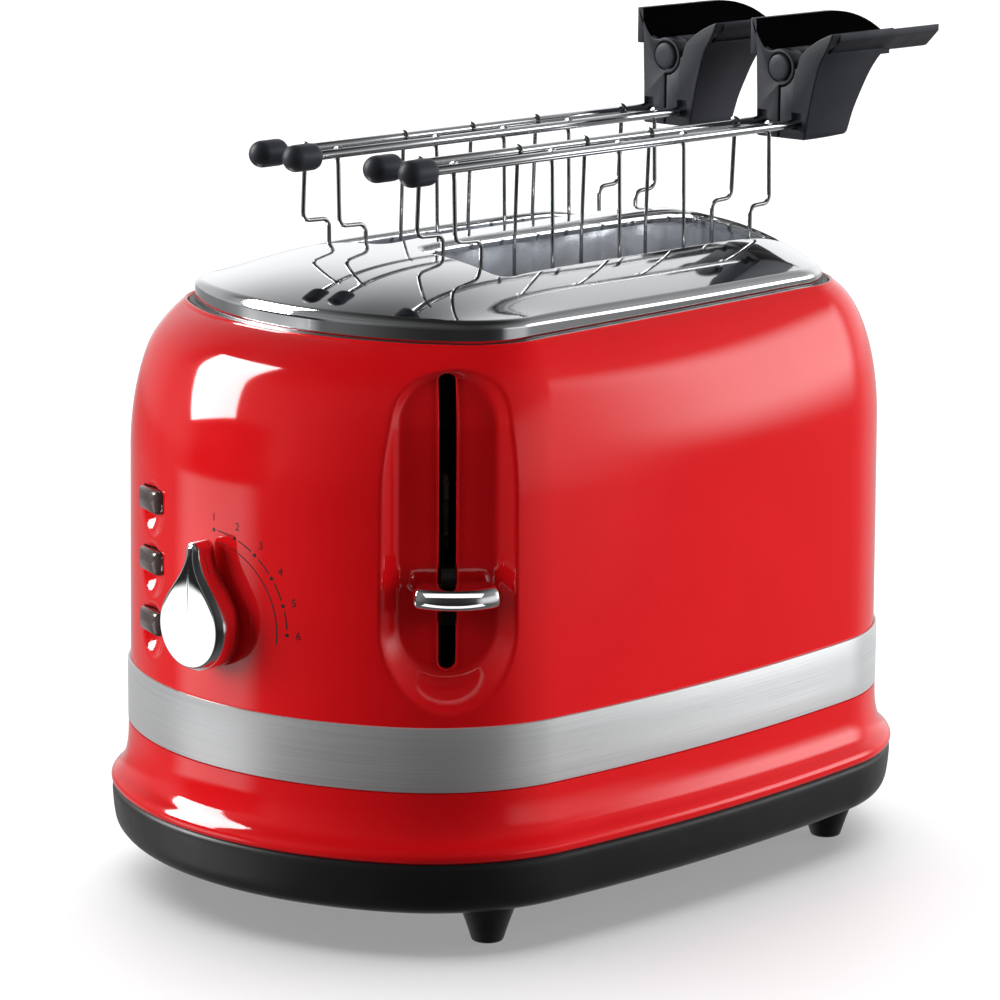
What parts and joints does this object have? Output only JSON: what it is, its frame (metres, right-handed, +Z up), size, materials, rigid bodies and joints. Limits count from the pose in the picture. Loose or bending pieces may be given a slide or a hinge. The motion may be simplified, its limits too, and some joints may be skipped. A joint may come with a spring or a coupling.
{
  "type": "toaster",
  "caption": "Retro pop-up toaster with glossy painted shell, domed chrome top, brushed trim band, side lever, drop-shaped browning knob and lift-out wire sandwich tongs.",
  "frame": {"origin": "on the floor plane the feet stand on, under the middle of the overall box, which is also the middle of the bread slots", "axes": "+Z up; -Y towards the control end with the knob; the bread slots run along Y and sit side by side along X"},
  "size_m": [0.1912, 0.3174, 0.269],
  "materials": {
    "red_enamel": "gloss enamel",
    "chrome": "mirror polish",
    "brushed_trim": "brushed along its length",
    "black_plastic": "satin",
    "grip_plastic": "fine matte texture",
    "rubber": "satin",
    "steel": "bright sheet",
    "polished_rail": "polished",
    "wire": "plated wire",
    "smoky_plastic": "smoky gloss",
    "mica": "layered mica card",
    "board": "solder mask",
    "coil": "wound wire"
  },
  "bodies": {
    "body": {"body_shell": "red_enamel", "top_plate": "chrome", "slot_liner_r": "steel", "slot_liner_l": "steel", "trim_band": "brushed_trim", "base": "black_plastic", "foot_fr": "rubber", "foot_fl": "rubber", "foot_br": "rubber", "foot_bl": "rubber", "base_screws": "steel", "front_frame": "steel", "rear_frame": "steel", "reflector_r": "steel", "reflector_l": "steel", "element_r": "mica", "element_c": "mica", "element_l": "mica", "guide_rod_r": "polished_rail", "guide_rod_l": "polished_rail", "guard_r_out": "wire", "guard_r_in": "wire", "guard_l_in": "wire", "guard_l_out": "wire", "control_board": "board", "solenoid": "coil", "timer_pot": "black_plastic", "cord_gland": "black_plastic", "return_spring": "steel"},
    "carriage": {"carriage": "steel", "lever_arm": "steel", "lever_tab": "chrome", "lifter_r": "steel", "lifter_l": "steel"},
    "knob": {"browning_knob": "chrome", "knob_shaft": "steel"},
    "button_top": {"button_top": "smoky_plastic"},
    "button_mid": {"button_mid": "smoky_plastic"},
    "button_low": {"button_low": "smoky_plastic"},
    "crumb_tray": {"crumb_tray": "steel"},
    "tong_r": {"tong_r_pin": "grip_plastic"},
    "tong_r_jaw_a": {"tong_r_grip_a": "grip_plastic", "tong_r_rail_a": "polished_rail", "tong_r_cage_a": "wire", "tong_r_cap_a": "grip_plastic"},
    "tong_r_jaw_b": {"tong_r_grip_b": "grip_plastic", "tong_r_rail_b": "polished_rail", "tong_r_cage_b": "wire", "tong_r_cap_b": "grip_plastic"},
    "tong_l": {"tong_l_pin": "grip_plastic"},
    "tong_l_jaw_a": {"tong_l_grip_a": "grip_plastic", "tong_l_rail_a": "polished_rail", "tong_l_cage_a": "wire", "tong_l_cap_a": "grip_plastic"},
    "tong_l_jaw_b": {"tong_l_grip_b": "grip_plastic", "tong_l_rail_b": "polished_rail", "tong_l_cage_b": "wire", "tong_l_cap_b": "grip_plastic"}
  },
  "joints": [
    {"name": "lever_slide", "type": "slide", "parent": "body", "child": "carriage", "axis": [0, 0, 1], "range_m": [-0.005, 0.056], "deforming": ["return_spring"]},
    {"name": "knob_turn", "type": "hinge", "parent": "body", "child": "knob", "pos_m": [-0.0028, -0.14865, 0.0973], "axis": [0, 1, 0], "range_deg": [0, 90]},
    {"name": "button_top_press", "type": "slide", "parent": "body", "child": "button_top", "axis": [0.3518, 0.9361, 0], "range_m": [0, 0.0025], "stiffness_N_per_m": 400, "springref_m": -0.001},
    {"name": "button_mid_press", "type": "slide", "parent": "body", "child": "button_mid", "axis": [0.3518, 0.9361, 0], "range_m": [0, 0.0025], "stiffness_N_per_m": 400, "springref_m": -0.001},
    {"name": "button_low_press", "type": "slide", "parent": "body", "child": "button_low", "axis": [0.3518, 0.9361, 0], "range_m": [0, 0.0025], "stiffness_N_per_m": 400, "springref_m": -0.001},
    {"name": "tray_slide", "type": "slide", "parent": "body", "child": "crumb_tray", "axis": [0, 1, 0], "range_m": [0, 0.18]},
    {"name": "tong_r_lift", "type": "slide", "parent": "carriage", "child": "tong_r", "axis": [0, 0, 1], "range_m": [0, 0.18]},
    {"name": "tong_r_open_a", "type": "hinge", "parent": "tong_r", "child": "tong_r_jaw_a", "pos_m": [0.0253, 0.0872, 0.2534], "axis": [0, -1, 0], "range_deg": [0, 2.2], "stiffness_Nm_per_rad": 2, "springref_deg": -11.46},
    {"name": "tong_r_open_b", "type": "hinge", "parent": "tong_r", "child": "tong_r_jaw_b", "pos_m": [0.0253, 0.0872, 0.2534], "axis": [0, 1, 0], "range_deg": [0, 2.2], "stiffness_Nm_per_rad": 2, "springref_deg": -11.46},
    {"name": "tong_l_lift", "type": "slide", "parent": "carriage", "child": "tong_l", "axis": [0, 0, 1], "range_m": [0, 0.18]},
    {"name": "tong_l_open_a", "type": "hinge", "parent": "tong_l", "child": "tong_l_jaw_a", "pos_m": [-0.0253, 0.0872, 0.2534], "axis": [0, -1, 0], "range_deg": [0, 2.2], "stiffness_Nm_per_rad": 2, "springref_deg": -11.46},
    {"name": "tong_l_open_b", "type": "hinge", "parent": "tong_l", "child": "tong_l_jaw_b", "pos_m": [-0.0253, 0.0872, 0.2534], "axis": [0, 1, 0], "range_deg": [0, 2.2], "stiffness_Nm_per_rad": 2, "springref_deg": -11.46}
  ],
  "couplings": [
    {"joint": "tong_r_open_b", "follows": "tong_r_open_a", "ratio": 1},
    {"joint": "tong_l_open_b", "follows": "tong_l_open_a", "ratio": 1}
  ]
}
